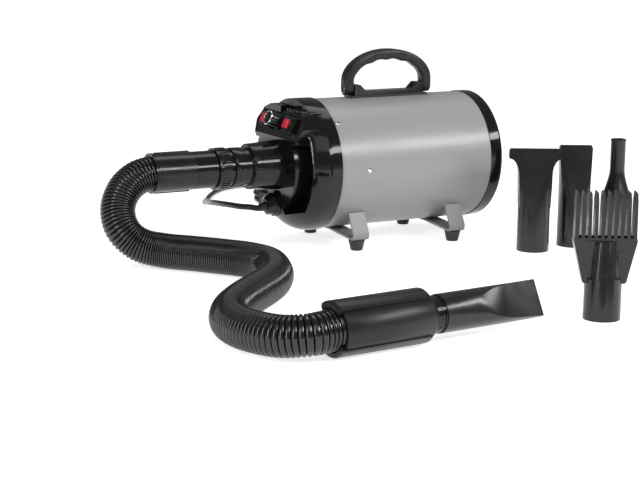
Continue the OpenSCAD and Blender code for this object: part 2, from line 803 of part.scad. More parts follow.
// Wedge that flattens a nozzle from a thickness t0 at x0 to t1 at x1, quicker at first where bow > 0
module wedge(x0, x1, t0, t1, bow = 0) {
    waist = bow > 0 ? [[(x0 + x1) / 2, (t0 + t1) / 4 - bow / 2]] : [];
    edge = concat([[-10, t0 / 2], [x0, t0 / 2]], waist, [[x1, t1 / 2]]);
    rotate([90, 0, 0]) translate([0, 0, -big / 4]) linear_extrude(big / 2)
        polygon(concat(edge, [for (i = [len(edge) - 1:-1:0]) [edge[i][0], -edge[i][1]]]));
}

module flat_nozzle() {
    full = 2 * socket_r;
    wall = nozzle_wall;
    cut_x = flat_len - flat_cut;
    color("#2c2c2e") at_tool() translate([nozzle_x, 0, 0]) rotate([90 - nozzle_turn, 0, 0]) difference() {
        intersection() {
            turned([[0, 0], [0, socket_r], [flat_len, socket_r], [flat_len, 0]]);
            wedge(cut_x, flat_len, full, mouth_t, 5);
        }
        intersection() {
            turned([[-1, 0], [-1, socket_r - wall], [flat_len + 1, socket_r - wall], [flat_len + 1, 0]]);
            wedge(cut_x, flat_len + 1, full - 2 * wall, mouth_t - 2 * wall, 5);
        }
    }
}

// Flat nozzle standing on its socket: a front outline flattened by a wedge over a round socket
module standing_nozzle(outline, inner) {
    wall = nozzle_wall;
    h = loose_h;
    full = 2 * socket_r + 0.4;
    difference() {
        intersection() {
            union() {
                cylinder(r = socket_r, h = h);
                rotate([90, 0, 0]) translate([0, 0, -mouth_t * 1.5])
                    linear_extrude(3 * mouth_t) polygon(outline);
            }
            rotate([0, -90, 0]) rotate([90, 0, 0]) wedge(loose_socket_h, h, full, mouth_t);
        }
        intersection() {
            union() {
                translate([0, 0, -1]) cylinder(r = socket_r - wall, h = loose_socket_h);
                cylinder(r = socket_r - wall - 0.6, h = h);
                rotate([90, 0, 0]) translate([0, 0, -mouth_t * 1.5 + wall])
                    linear_extrude(3 * mouth_t - 2 * wall) polygon(inner);
            }
            rotate([0, -90, 0]) rotate([90, 0, 0])
                wedge(loose_socket_h, h + 1, full - 2 * wall, mouth_t - 2 * wall);
        }
    }
}

module wide_nozzle() {
    half = wide_w / 2;
    neck = 22.8;
    out_side = concat([[neck - 1.8, 60], [neck, 105]],
        [for (t = [0:6]) [neck + (half - neck) * (1 - cos(15 * t)), 105 + 22 * sin(15 * t)]],
        [[half, loose_h - 2], [half - 2, loose_h]]);
    in_side = concat([[neck - 4.6, 62], [neck - 2, 105]],
        [for (t = [0:6]) [neck - 2 + (half - neck) * (1 - cos(15 * t)), 106 + 22 * sin(15 * t)]],
        [[half - 2, loose_h + 1]]);
    color("#262628") at_place(wide_at) standing_nozzle(mirrored(out_side), mirrored(in_side));
}

module slim_nozzle() {
    half = slim_w / 2;
    out_side = [[socket_r - 2.6, 70], [socket_r - 1.6, 95], [half - 0.8, 120],
        [half, loose_h - 3], [half - 1.5, loose_h]];
    in_side = [[socket_r - 5, 72], [socket_r - 3.6, 95], [half - 2.8, 120], [half - 2, loose_h + 1]];
    color("#262628") at_place(slim_at) standing_nozzle(mirrored(out_side), mirrored(in_side));
}

module cone_nozzle() {
    h = loose_h + 1;
    shoulder = 48;
    pipe = h - 42;
    wall = nozzle_wall;
    color("#202022") at_place(cone_at) rotate_extrude() polygon(concat(
        [[socket_r - wall, 0], [socket_r, 0], [socket_r - 0.3, shoulder - 1],
            [socket_r - 1, shoulder]],
        [for (t = [1:7]) [socket_r - 1 - (socket_r - cone_r - 0.5) * (1 - cos(180 * t / 8)) / 2,
            shoulder + (pipe - shoulder) * t / 8]],
        [[cone_r - 0.5, pipe], [cone_r - 0.5, h - 3], [cone_r, h - 2.4], [cone_r, h - 0.6],
            [cone_r - 0.6, h], [cone_r - wall, h], [cone_r - wall - 0.5, pipe],
            [socket_r - wall - 1, shoulder], [socket_r - wall - 1, loose_socket_h],
            [socket_r - wall, loose_socket_h]]));
}

module comb_nozzle() {
    h = loose_h + 9;
    head_z = h - tooth_l;
    pitch = (comb_w - 6) / (tooth_count - 1);
    wall = nozzle_wall;
    neck = 25.3;
    half = comb_w / 2;
    body = mirrored([[neck - 2, loose_socket_h], [neck, loose_socket_h + 1.5], [half, head_z],
        [half - 0.6, head_z + 4]]);
    color("#242426") at_place(comb_at) {
        difference() {
            union() {
                cylinder(r = socket_r - 0.3, h = loose_socket_h + 6);
                translate([0, 9, 0]) rotate([90, 0, 0]) linear_extrude(18) polygon(body);
                translate([0, 0, loose_socket_h]) intersection() {
                    cylinder(r1 = socket_r - 0.3, r2 = 15, h = head_z - loose_socket_h);
                    translate([-15, -30, 0]) cube([30, 60, head_z - loose_socket_h]);
                }
            }
            translate([0, 0, -1]) cylinder(r = socket_r - wall, h = loose_socket_h + 2);
            translate([0, 7, 0]) rotate([90, 0, 0]) linear_extrude(14)
                polygon(mirrored([[neck - 5, loose_socket_h - 1], [half - 2.4, head_z],
                    [half - 2.4, head_z + 5]]));
        }
        for (i = [0:tooth_count - 1])
            translate([(i - (tooth_count - 1) / 2) * pitch, 0, head_z + 2]) comb_tooth();
        for (y = [-8.9, 6.9])
            translate([-half + 1, y, head_z]) cube([comb_w - 2, 2, 4]);
    }
}

module comb_tooth() {
    rotate([90, 0, 0]) translate([0, 0, -8.5]) linear_extrude(17)
        polygon([[-2.2, 0], [2.2, 0], [1.8, tooth_l - 12], [1.1, tooth_l - 3],
            [0.5, tooth_l - 2], [-0.5, tooth_l - 2], [-1.1, tooth_l - 3], [-1.8, tooth_l - 12]]);
}

// ---------- rear ----------

module rear_ring() {
    r = cap_r - 1;
    color("#1c1c1e") at_axis() difference() {
        turned(concat([[rear_x, spigot_out], [rear_x, r], [rear_x + rear_len - 5, r]],
            [for (i = [1:5]) [rear_x + rear_len - 5 + 5 * sin(18 * i), r - 5 * (1 - cos(18 * i))]],
            [[rear_x + rear_len, inlet_r + 2], [rear_x + rear_len - 2, inlet_r],
                [rear_x + 4, inlet_r], [rear_x + 4, inlet_r - 5], [rear_x, inlet_r - 5],
                [rear_x, spigot_in], [rear_x - spigot_len, spigot_in],
                [rear_x - spigot_len, spigot_out]]));
        mirror([1, 0, 0]) screw_holes(rear_screws);
    }
}

module intake_grille() {
    x = rear_x + rear_len - 5;
    r = inlet_r - gap;
    color("#202022") at_axis() {
        tube(x, x + 4, r, r - 5);
        for (q = [1:4]) tube(x + 0.5, x + 3.5, 13 * q + 5, 13 * q + 2);
        turned([[x, 0], [x, 9], [x + 4, 9], [x + 4, 0]]);
        for (a = [0:30:359])
            rotate([a, 0, 0]) translate([x, -1.5, 8]) cube([3, 3, r - 10]);
    }
}

module intake_filter() {
    color("#3c3c3c") at_axis()
        turned([[rear_x + 4 + gap, 0], [rear_x + 4 + gap, inlet_r - 1],
            [rear_x + 4 + gap + filter_t, inlet_r - 1], [rear_x + 4 + gap + filter_t, 0]]);
}

// ---------- handle ----------

bail_half = handle_len / 2;
bail_inner = bail_half - 13.5;
arch_h = handle_top - leg_top;

// Outer and inner edge of the bail at fraction t from its front leg to its rear leg
function bail_outer(t) = t < 0.12
    ? [-bail_half, pivot_z - eye_r + (leg_top - pivot_z + eye_r) * t / 0.12]
    : t > 0.88 ? [bail_half, pivot_z - eye_r + (leg_top - pivot_z + eye_r) * (1 - t) / 0.12]
    : let (a = 180 - (t - 0.12) / 0.76 * 180) [bail_half * cos(a), leg_top + arch_h * sin(a)];
function scallop(x) = abs(x + 3) > 48 ? 0 : 2.6 * pow(abs(sin((x + 3) * 180 / 24)), 0.8) - 1.3;
function bail_inner_at(t) = t < 0.12
    ? [-bail_inner, pivot_z - eye_r + (leg_top - pivot_z + eye_r) * t / 0.12]
    : t > 0.88 ? [bail_inner, pivot_z - eye_r + (leg_top - pivot_z + eye_r) * (1 - t) / 0.12]
    : let (a = 180 - (t - 0.12) / 0.76 * 180, x = bail_inner * cos(a))
        [x, leg_top + (arch_h - handle_t) * sin(a) + scallop(x) * sin(a)];

// Rounded section between the two edges, w deep
function bail_ring(o, i, w) =
    let (d = unit(o - i), l = norm(o - i), c = min(3, w / 3),
         q = [[0, c - w / 2], [c * 0.3, c * 0.3 - w / 2], [c, -w / 2], [l - c, -w / 2],
            [l - c * 0.3, c * 0.3 - w / 2], [l, c - w / 2], [l, w / 2 - c],
            [l - c * 0.3, w / 2 - c * 0.3], [l - c, w / 2], [c, w / 2],
            [c * 0.3, w / 2 - c * 0.3], [0, w / 2 - c]])
    [for (p = q) [i[0] + d[0] * p[0], p[1], i[1] + d[1] * p[0]]];
function eye_w(z) = z > pivot_z ? handle_w
    : 2 * sqrt(max(eye_r * eye_r - pow(pivot_z - z, 2), 4));

module handle_bail() {
    steps = concat([0, 0.01, 0.025, 0.045, 0.07, 0.12], [for (i = [1:37]) 0.12 + 0.02 * i],
        [0.88, 0.93, 0.955, 0.975, 0.99, 1]);
    rings = [for (t = steps) let (o = bail_outer(t), i = bail_inner_at(t)) bail_ring(o, i, eye_w(o[1]))];
    n = len(rings);
    color("#2e2e30") at_axis() translate([handle_x, 0, 0]) difference() {
        polyhedron(points = [for (r = rings) each r],
            faces = concat(side_faces(n, 12, 0, false), end_fan(0, 12, false),
                end_fan((n - 1) * 12, 12, true)));
        translate([-big / 2, 0, pivot_z]) rotate([0, 90, 0]) cylinder(r = pin_r + run, h = big);
    }
}

module handle_base() {
    ear_x = bail_inner - gap;
    half = bail_half - 8;
    color("#1c1c1e") at_axis() translate([handle_x, 0, 0]) difference() {
        union() {
            translate([-half, -handle_w / 2 - 2, barrel_r - 8])
                cube([2 * half, handle_w + 4, pivot_z - eye_r - gap - barrel_r + 8]);
            rotate([90, 0, 0]) translate([0, 0, -handle_w / 2]) linear_extrude(handle_w)
                polygon([[-ear_x, barrel_r + 0.3], [ear_x, barrel_r + 0.3], [ear_x, ear_z],
                    [ear_x - ear_t, ear_z], [ear_x - ear_t - 9, base_z],
                    [ear_t + 9 - ear_x, base_z], [ear_t - ear_x, ear_z], [-ear_x, ear_z]]);
        }
        translate([-big / 2, 0, 0]) rotate([0, 90, 0]) cylinder(r = barrel_r + 0.05, h = big);
        translate([-big / 2, 0, pivot_z]) rotate([0, 90, 0]) cylinder(r = pin_r, h = big);
    }
}

module handle_pins() {
    color("#b0b0b4") at_axis() translate([handle_x, 0, pivot_z])
        for (m = [0, 1]) mirror([m, 0, 0]) {
            translate([bail_inner - ear_t, 0, 0]) rotate([0, 90, 0])
                cylinder(r = pin_r, h = ear_t + 12);
        }
}

// ---------- legs ----------

bolt_r = 3;
leg_mid = -barrel_r - leg_t / 2 - 0.3;
leg_low = leg_mid - 4.7;
arm_top = [-bore_r * cos(43) - 1, -bore_r * sin(43) - 1];

leg_path = concat(
    [arm_top, [-leg_reach, leg_low + 7]],
    [for (p = arc(-leg_reach + 5.2, leg_low + 5.2, 5.2, 195, 262, 5)) p],
    [[-12, leg_mid], [0, leg_mid]]);
leg_full = concat(leg_path, [for (i = [len(leg_path) - 2:-1:0]) [-leg_path[i][0], leg_path[i][1]]]);

module leg(x) {
    color("#b4b6b8") at_axis() difference() {
        across(x - leg_w / 2, x + leg_w / 2) polygon(strip(leg_full, leg_t));
        rotate([0, 90, 0]) translate([0, 0, -big / 2]) cylinder(r = barrel_r + 0.1, h = big);
        translate([x, 0, -big / 2]) cylinder(r = bolt_r + fit, h = big / 2, $fn = 24);
        for (y = [-foot_y, foot_y])
            translate([x, y, leg_low - 10]) cylinder(r = 2 + fit, h = 16, $fn = 24);
    }
}

module leg_front() {
    leg(leg_front_x);
}

module leg_rear() {
    leg(leg_rear_x);
}

module leg_bolts() {
    color("#9a9a9e") at_axis() for (x = [leg_front_x, leg_rear_x]) {
        translate([x, 0, leg_mid - leg_t / 2 - 3]) cylinder(r = 5.5, h = 3, $fn = 6);
        translate([x, 0, leg_mid - leg_t / 2]) cylinder(r = bolt_r, h = leg_t + 0.3 + barrel_t);
    }
}

// Height of the feet, up to the underside of the strips
foot_h = axis_h + leg_low - leg_t / 2 - 0.3;

module rubber_feet() {
    color("#18181a") translate([machine_x, machine_y, 0])
        for (x = [leg_front_x, leg_rear_x], y = [-foot_y, foot_y]) translate([x, y, 0])
            difference() {
                cylinder(r1 = foot_base_r, r2 = foot_r, h = foot_h);
                translate([0, 0, 4]) cylinder(r = 2, h = foot_h, $fn = 24);
            }
}

module foot_screws() {
    color("#a0a0a4") translate([machine_x, machine_y, 0])
        for (x = [leg_front_x, leg_rear_x], y = [-foot_y, foot_y]) translate([x, y, 0]) {
            translate([0, 0, 5]) cylinder(r = 2, h = foot_h + leg_t, $fn = 24);
            translate([0, 0, foot_h + leg_t + 1.3]) cylinder(r1 = 4, r2 = 2.6, h = 2.2, $fn = 24);
        }
}

module body_screws() {
    color("#d0d0d4") at_axis() {
        for (m = [0, 1]) mirror([m, 0, 0])
            for (a = m == 0 ? front_screws : rear_screws) rotate([a, 0, 0]) translate([screw_x, 0, 0]) {
                translate([0, 0, spigot_in + 0.5]) cylinder(r = screw_r, h = barrel_r - spigot_in - 0.2);
                translate([0, 0, barrel_r + 0.3]) cylinder(r1 = 3.6, r2 = 2.2, h = 1.6, $fn = 24);
            }
        translate([side_screw_x, 0, 0]) rotate([90, 0, 0]) {
            translate([0, 0, bore_r + 0.2]) cylinder(r = screw_r, h = barrel_t + 0.6, $fn = 24);
            translate([0, 0, barrel_r + 0.3]) cylinder(r1 = 3.6, r2 = 2.2, h = 1.6, $fn = 24);
        }
    }
}

// ---------- blower, motor and heater ----------

blower_x = 16;
blower_end = blower_x + blower_len;
stage = blower_len / 2;
motor_front = -62;
heater_x = front_x + spigot_len + 8;
heater_len = motor_front - 10.5 - heater_x;

module sound_liner() {
    color("#5a5a5c") at_axis()
        tube(front_x + spigot_len + 4, rear_x - spigot_len - 4, bore_r - 0.3, blower_r + 5);
}

module blower_housing() {
    color("#a6a8aa") at_axis() turned([
        [blower_x, blower_r - 1.5], [blower_x, blower_r], [blower_end, blower_r],
        [blower_end, 26], [blower_end - 1.5, 26], [blower_end - 1.5, blower_r - 1.5]]);
}

// Backward-curved blades between two discs
module impeller(x) {
    r = blower_r - 5;
    hub = 10;
    w = stage - 9;
    turned([[x, shaft_r], [x, r], [x + 1.2, r], [x + 1.2, hub], [x + w, hub], [x + w, shaft_r]]);
    tube(x + w, x + w + 1.2, r, 24);
    for (k = [0:blade_count - 1])
        rotate([k * 360 / blade_count, 0, 0])
            across(x + 1.2, x + w)
                polygon(strip([for (i = [0:8]) let (q = 18 + (r - 19) * i / 8, a = i * 7)
                    [q * cos(a), q * sin(a)]], 1.2));
}

module impellers() {
    color("#c4c6c8") at_axis() {
        impeller(blower_x + 3);
        impeller(blower_x + stage + 3);
    }
}

module diffuser() {
    x = blower_x + stage - 3;
    color("#8e9092") at_axis() {
        tube(x, x + 1.5, blower_r - 1.5, 26);
        for (k = [0:10])
            rotate([k * 360 / 11, 0, 0])
                across(x + 1.5, x + 4)
                    polygon(strip([for (i = [0:4]) let (q = 30 + 9 * i, a = -i * 9)
                        [q * cos(a), q * sin(a)]], 1.2));
    }
}

module motor_shaft() {
    color("#8c8c90") at_axis() turned([[motor_front, 0], [motor_front, shaft_r], [blower_end - 5, shaft_r],
        [blower_end - 5, 0]]);
}

module motor_armature() {
    color("#9c6a3a") at_axis() {
        difference() {
            tube(-40, -6, armature_r, shaft_r);
            for (a = [0:30:359]) rotate([a, 0, 0]) translate([-41, -1, armature_r - 3]) cube([36, 2, 6]);
        }
        tube(-52, -42, 10, shaft_r);
    }
}

module motor_frame() {
    color("#6c6e70") at_axis() {
        tube(-44, -4, motor_r, armature_r + 1);
        for (a = [45, 135, 225, 315])
            rotate([a, 0, 0]) {
                translate([-4, -5, motor_r - 8]) cube([blower_x + 4 - gap, 10, 6]);
                translate([motor_front, -5, motor_r - 8]) cube([20, 10, 6]);
            }
        tube(blower_x - 4 - gap, blower_x - gap, motor_r, 11);
        tube(motor_front, motor_front + 6, motor_r, 11);
    }
}

module motor_bearings() {
    color("#b8babc") at_axis() {
        tube(motor_front, motor_front + 6, 11, shaft_r + run);
        tube(blower_x - 5, blower_x - gap, 11, shaft_r + run);
    }
}

module motor_brushes() {
    color("#7a5a30") at_axis() for (a = [0, 180])
        rotate([a, 0, 0]) translate([-50, -3, 10 + gap]) cube([6, 6, 22]);
}

module mount_rings() {
    color("#1a1a1a") at_axis() {
        for (x = [blower_x + 4, blower_end - 10])
            tube(x, x + 6, blower_r + 5 - fit, blower_r + fit);
        difference() {
            tube(-60, -54, blower_r + 5 - fit, motor_r + fit);
            for (a = [0:45:359]) rotate([a, 0, 0]) translate([-61, -9, motor_r + 8])
                cube([8, 18, blower_r - motor_r - 8]);
        }
    }
}

module heater_frame() {
    color("#d8cfa8") at_axis() {
        for (a = [0, 60, 120]) rotate([a, 0, 0])
            translate([heater_x, -0.5, -blower_r - 4])
                cube([heater_len, 1, 2 * blower_r + 8]);
    }
}

module heater_coils() {
    color("#b06a30") at_axis() for (q = [22, 34, 46, 58]) difference() {
        tube(heater_x + 6, heater_x + heater_len - 6, q + 1.2, q);
        for (a = [0:60:359]) rotate([a, 0, 0])
            translate([-big / 2, -0.9, q - 2]) cube([big / 2, 1.8, 6]);
    }
}

// ---------- cord ----------

module gland_axis() {
    translate([face_x, 0, gland_z]) rotate([0, -gland_tilt, 0]) rotate([0, -90, 0]) children();
}

module cord_gland() {
    color("#141416") at_axis() difference() {
        union() {
            gland_axis() translate([0, 0, 4.2])
                cylinder(r1 = gland_r - 0.4, r2 = 12, h = gland_len - 5.2, $fn = 8);
            gland_axis() translate([0, 0, 3]) cylinder(r = 8, h = gland_len - 3);
            translate([face_x - 4.6, 0, gland_z]) rotate([0, 90, 0])
                cylinder(r = gland_r, h = 4.6);
            translate([face_x - 1, 0, gland_z]) rotate([0, 90, 0])
                cylinder(r = 7, h = cap_wall + 1);
        }
        gland_axis() translate([0, 0, -8]) cylinder(r = cord_r + fit, h = gland_len + 12);
    }
}

gland_end = [face_x - gland_len * cos(gland_tilt), 0,
    axis_h + gland_z - gland_len * sin(gland_tilt)];
gland_dir = [-cos(gland_tilt), 0, -sin(gland_tilt)];
coil_at = [0, 306];
coil_start_r = 54;
coil_pitch = 9.4;
coil_turns = 5;
coil_z = [5.2, 13.9];
coil_tail = 26;

cord_route = concat(
    [gland_end, gland_end + 9 * gland_dir],
    [[-210, 4, 57], [-219, 17, 56.5], [-223, 36, 55.5], [-224, 62, 53], [-220, 97, 48.5],
        [-210, 135, 42], [-196, 175, 35.5], [-181.5, 215, 28.5], [-165, 255, 20], [-147, 295, 11.5],
        [-127, 335, 5.2], [-102, 374, 5.2], [-75, 408, 5.2], [-46, 432, 5.2], [-10, 440, 5.2],
        [24, 430, 5.2], [46, 405, 5.2], [54, 374, 5.2], [54, 344, 5.2], [54, 314, 5.2]]);

cord_points = [for (p = spline(cord_route, 2)) p + [machine_x, machine_y, 0]];
function path_dir(p, i) = unit(p[min(i + 1, len(p) - 1)] - p[max(i - 1, 0)]);

module power_cord() {
    n = len(cord_points);
    echo(cord_run_length = lengths(cord_points)[n - 1]);
    color("#111113") solid_tube([for (i = [0:n - 1])
        [cord_points[i], i == 0 ? gland_dir : i == n - 1 ? [0, -1, 0] : path_dir(cord_points, i)]],
        cord_r, 8);
}

// Radius of the coil after q turns: in on the lower layer, out again on the upper one
half_turns = coil_turns / 2;
function coil_r(q) = coil_start_r - coil_pitch * (half_turns - abs(q - half_turns));
function coil_rise(q) = min(max((q - half_turns + 0.25) * 2, 0), 1);
function coil_point(q) = [coil_at[0] + coil_r(q) * cos(-360 * q),
    coil_at[1] + coil_r(q) * sin(-360 * q),
    coil_z[0] + (coil_z[1] - coil_z[0]) * coil_rise(q)];

module cord_coil() {
    n = 24 * coil_turns;
    turns = [for (i = [0:n]) coil_point(i / 24)];
    path = [for (p = concat([coil_point(0) + [0, 8, 0]], turns,
        [turns[n] + [0, -8, 0], turns[n] + [0, -coil_tail, 0]])) p + [machine_x, machine_y, 0]];
    last = len(path) - 1;
    stations = [for (i = [0:last]) [path[i],
        i == 0 || i == last ? [0, -1, 0] : path_dir(path, i)]];
    echo(coil_length = lengths(path)[last],
        coil_least_gap_to_itself = self_gap(stations, lengths(path), cord_r));
    color("#111113") solid_tube(stations, cord_r, 6);
}

module cord_tie() {
    r0 = coil_start_r - coil_pitch * half_turns - cord_r - 1;
    r1 = coil_start_r + cord_r + 1.2;
    top = coil_z[1] + cord_r + 0.6;
    color("#2a2a2c") translate([machine_x + coil_at[0], machine_y + coil_at[1], 0])
        rotate([0, 0, 200]) difference() {
            translate([r0 - 0.8, -5, 0]) cube([r1 - r0 + 1.6, 10, top + 0.8]);
            translate([r0, -6, 0.7]) cube([r1 - r0, 12, top - 0.7]);
        }
}

plug_at = [coil_at[0] + coil_start_r, coil_at[1] - coil_tail, coil_z[1]];

module at_plug() {
    translate([machine_x + plug_at[0], machine_y + plug_at[1], plug_at[2]])
        rotate([90, 0, 0]) children();
}

module mains_plug() {
    color("#131315") at_plug() difference() {
        union() {
            cylinder(r1 = cord_r + 0.4, r2 = 6.5, h = 26);
            translate([-13, -13.4, 26]) linear_extrude(30) polygon([[3, 0], [23, 0], [26, 4],
                [26, 22], [23, 26], [3, 26], [0, 22], [0, 4]]);
        }
        for (x = [-6.5, 6.5]) translate([x - 1, -3.4, 44]) cube([2, 7, 20]);
        translate([0, 7, 44]) cylinder(r = 2.5, h = 20, $fn = 24);
    }
}

module plug_pins() {
    color("#c8b070") at_plug() {
        for (x = [-6.5, 6.5]) translate([x - 0.8, -3.2, 45]) cube([1.6, 6.6, 29]);
        translate([0, 7, 45]) cylinder(r = 2.4, h = 31, $fn = 24);
    }
}

barrel();
front_cap();
control_panel();
vent_louvres();
switch_bezels();
speed_knob();
knob_rim();
knob_shaft();
speed_control();
power_rocker();
heat_rocker();
switch_bodies();
control_board();
outlet_spout();
outlet_collar();
lock_ring();
hose_cuff();
hose_sleeve();
hose();
grip_sleeve();
end_ring();
flat_nozzle();
wide_nozzle();
slim_nozzle();
cone_nozzle();
comb_nozzle();
rear_ring();
intake_grille();
intake_filter();
handle_base();
handle_bail();
handle_pins();
leg_front();
leg_rear();
leg_bolts();
rubber_feet();
foot_screws();
body_screws();
sound_liner();
blower_housing();
impellers();
diffuser();
motor_shaft();
motor_armature();
motor_frame();
motor_bearings();
motor_brushes();
mount_rings();
heater_frame();
heater_coils();
cord_gland();
power_cord();
cord_coil();
cord_tie();
mains_plug();
plug_pins();
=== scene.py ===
"""Looks of the pet dryer: finishes, the ribbed hose, the mains lead and the small parts."""
import json
import math

import bmesh
import bpy
from mathutils import Matrix, Vector

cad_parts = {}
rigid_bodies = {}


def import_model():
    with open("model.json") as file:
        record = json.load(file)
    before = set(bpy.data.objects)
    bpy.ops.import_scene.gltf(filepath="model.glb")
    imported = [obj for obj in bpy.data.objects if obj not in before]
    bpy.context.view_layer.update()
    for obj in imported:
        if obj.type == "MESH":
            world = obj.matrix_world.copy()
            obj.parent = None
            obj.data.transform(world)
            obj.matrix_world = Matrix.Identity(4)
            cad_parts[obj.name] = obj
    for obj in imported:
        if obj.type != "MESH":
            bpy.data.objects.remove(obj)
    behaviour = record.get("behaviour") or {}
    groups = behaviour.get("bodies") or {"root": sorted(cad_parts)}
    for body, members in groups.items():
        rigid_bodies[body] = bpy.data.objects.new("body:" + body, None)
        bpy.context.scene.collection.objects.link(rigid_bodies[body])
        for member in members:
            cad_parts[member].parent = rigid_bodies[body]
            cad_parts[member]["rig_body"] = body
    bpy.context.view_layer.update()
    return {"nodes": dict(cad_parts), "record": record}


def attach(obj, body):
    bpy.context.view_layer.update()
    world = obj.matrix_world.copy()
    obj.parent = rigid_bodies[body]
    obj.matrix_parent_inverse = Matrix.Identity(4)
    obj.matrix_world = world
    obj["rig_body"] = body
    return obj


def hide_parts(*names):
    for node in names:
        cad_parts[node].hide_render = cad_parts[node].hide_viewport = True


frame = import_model()
nodes = frame["nodes"]
body_of = {n: o["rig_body"] for n, o in nodes.items()}
finish_of = {p["node"]: p["material_slot"] for p in frame["record"]["subparts"]}

MM = 0.001
# Middle of the barrel
BARREL = Vector((0.033, 0.240, 0.112))


def at_barrel(x, y, z):
    """A point measured in millimetres from the middle of the barrel."""
    return BARREL + Vector((x, y, z)) * MM


def on_floor_plan(x, y, z):
    """A point measured in millimetres from below the middle of the barrel."""
    return Vector((BARREL.x, BARREL.y, 0)) + Vector((x, y, z)) * MM


def add_object(name, data):
    """A new object with the given data, linked to the scene."""
    made = bpy.data.objects.new(name, data)
    bpy.context.scene.collection.objects.link(made)
    return made


# ---------- camera ----------

# Turn, dip and roll in degrees
CAMERA_ANGLES = (28.052, 11.542, 0.598)
CAMERA_PLACE = Vector((-1.184, -1.8487, 0.4862))
CAMERA_LENS = 97.45


def place_camera():
    turn, dip, roll = (math.radians(a) for a in CAMERA_ANGLES)
    look = Vector((math.sin(turn) * math.cos(dip), math.cos(turn) * math.cos(dip), -math.sin(dip)))
    right = Vector((math.cos(turn), -math.sin(turn), 0))
    up = right.cross(look)
    right, up = (math.cos(roll) * right + math.sin(roll) * up,
                 math.cos(roll) * up - math.sin(roll) * right)
    cam = bpy.data.cameras.new("camera")
    cam.sensor_width = 36
    cam.lens = CAMERA_LENS
    cam.clip_end = 30
    holder = add_object("camera", cam)
    place = Matrix((right, up, -look)).transposed().to_4x4()
    place.translation = CAMERA_PLACE
    holder.matrix_world = place
    bpy.context.scene.camera = holder


place_camera()


# ---------- finishes ----------

class Finish:
    """A material under construction: a Principled shader and short ways to feed it."""

    def __init__(self, name, colour, rough, metal=0.0, **sockets):
        self.material = bpy.data.materials.new(name)
        self.material.use_nodes = True
        tree = self.material.node_tree
        self.nodes, self.links = tree.nodes, tree.links
        self.shader = self.nodes["Principled BSDF"]
        self.colour = (*colour, 1)
        self.rough = rough
        self.set("Base Color", self.colour)
        self.set("Roughness", rough)
        self.set("Metallic", metal)
        for key, value in sockets.items():
            self.set(key.replace("_", " "), value)
        self.place = self.nodes.new("ShaderNodeTexCoord").outputs["Object"]
        self.height = None

    def set(self, socket, value):
        self.shader.inputs[socket].default_value = value

    def noise(self, size, detail=3, stretch=(1, 1, 1)):
        """Noise with spots of the given size in metres, in Object coordinates."""
        scaled = self.nodes.new("ShaderNodeMapping")
        scaled.inputs["Scale"].default_value = stretch
        self.links.new(self.place, scaled.inputs["Vector"])
        made = self.nodes.new("ShaderNodeTexNoise")
        made.inputs["Scale"].default_value = 1 / size
        made.inputs["Detail"].default_value = detail
        self.links.new(scaled.outputs["Vector"], made.inputs["Vector"])
        return made.outputs["Fac"]

    def cells(self, size, feature="F1"):
        made = self.nodes.new("ShaderNodeTexVoronoi")
        made.feature = feature
        made.inputs["Scale"].default_value = 1 / size
        self.links.new(self.place, made.inputs["Vector"])
        return made.outputs["Distance"]

    def span(self, value, low, high, at=(0.3, 0.7)):
        made = self.nodes.new("ShaderNodeMapRange")
        made.inputs["From Min"].default_value, made.inputs["From Max"].default_value = at
        made.inputs["To Min"].default_value, made.inputs["To Max"].default_value = low, high
        self.links.new(value, made.inputs["Value"])
        return made.outputs["Result"]

    def vary_rough(self, value, swing, at=(0.3, 0.7)):
        self.links.new(self.span(value, self.rough - swing, self.rough + swing, at),
                       self.shader.inputs["Roughness"])

    def vary_colour(self, value, other, at=(0.3, 0.7)):
        mix = self.nodes.new("ShaderNodeMix")
        mix.data_type = "RGBA"
        mix.inputs["A"].default_value = self.colour
        mix.inputs["B"].default_value = (*other, 1)
        self.links.new(self.span(value, 0, 1, at), mix.inputs["Factor"])
        self.links.new(mix.outputs["Result"], self.shader.inputs["Base Color"])

    def bump(self, value, depth, strength=1.0):
        """Adds relief of the given depth in metres on top of what is there."""
        made = self.nodes.new("ShaderNodeBump")
        made.inputs["Distance"].default_value = depth
        made.inputs["Strength"].default_value = strength
        self.links.new(value, made.inputs["Height"])
        if self.height is not None:
            self.links.new(self.height, made.inputs["Normal"])
        self.height = made.outputs["Normal"]
        self.links.new(self.height, self.shader.inputs["Normal"])


def moulded(name, grey, rough, grain=0.00035, relief=0.00002, gloss=0.3, wave=0.25):
    """Moulded plastic: fine grain, slow waviness and a slightly uneven sheen."""
    f = Finish(name, (grey, grey, grey * 1.04), rough, Specular_IOR_Level=gloss)
    f.vary_rough(f.noise(0.03), 0.05)
    pale = grey * 1.35
    f.vary_colour(f.noise(0.06, 4), (pale, pale, pale * 1.04))
    f.bump(f.noise(0.05, 1), 0.0006, wave)
    f.bump(f.noise(grain, 2), relief)
    return f.material


def silver_paint(name, grey, rough):
    """Metallic paint: bright flakes in a grey lacquer, with a faint rolled waviness."""
    tint = (grey, grey * 1.012, grey * 1.03)
    f = Finish(name, tint, rough, 0.06, Specular_IOR_Level=0.4)
    f.vary_rough(f.noise(0.05), 0.03)
    f.vary_colour(f.noise(0.0006, 2), (grey * 1.14,) * 3, (0.45, 0.7))
    f.bump(f.noise(0.09, 1, (0.4, 1, 1)), 0.0010, 0.12)
    f.bump(f.noise(0.0007, 2), 0.00001)
    return f.material


def bare_metal(name, colour, rough, stretch=(1, 1, 1)):
    f = Finish(name, colour, rough, 1.0)
    f.vary_rough(f.noise(0.004, 3, stretch), 0.08)
    f.vary_colour(f.noise(0.02), tuple(c * 0.86 for c in colour))
    f.bump(f.noise(0.0009, 2, stretch), 0.00002)
    return f.material


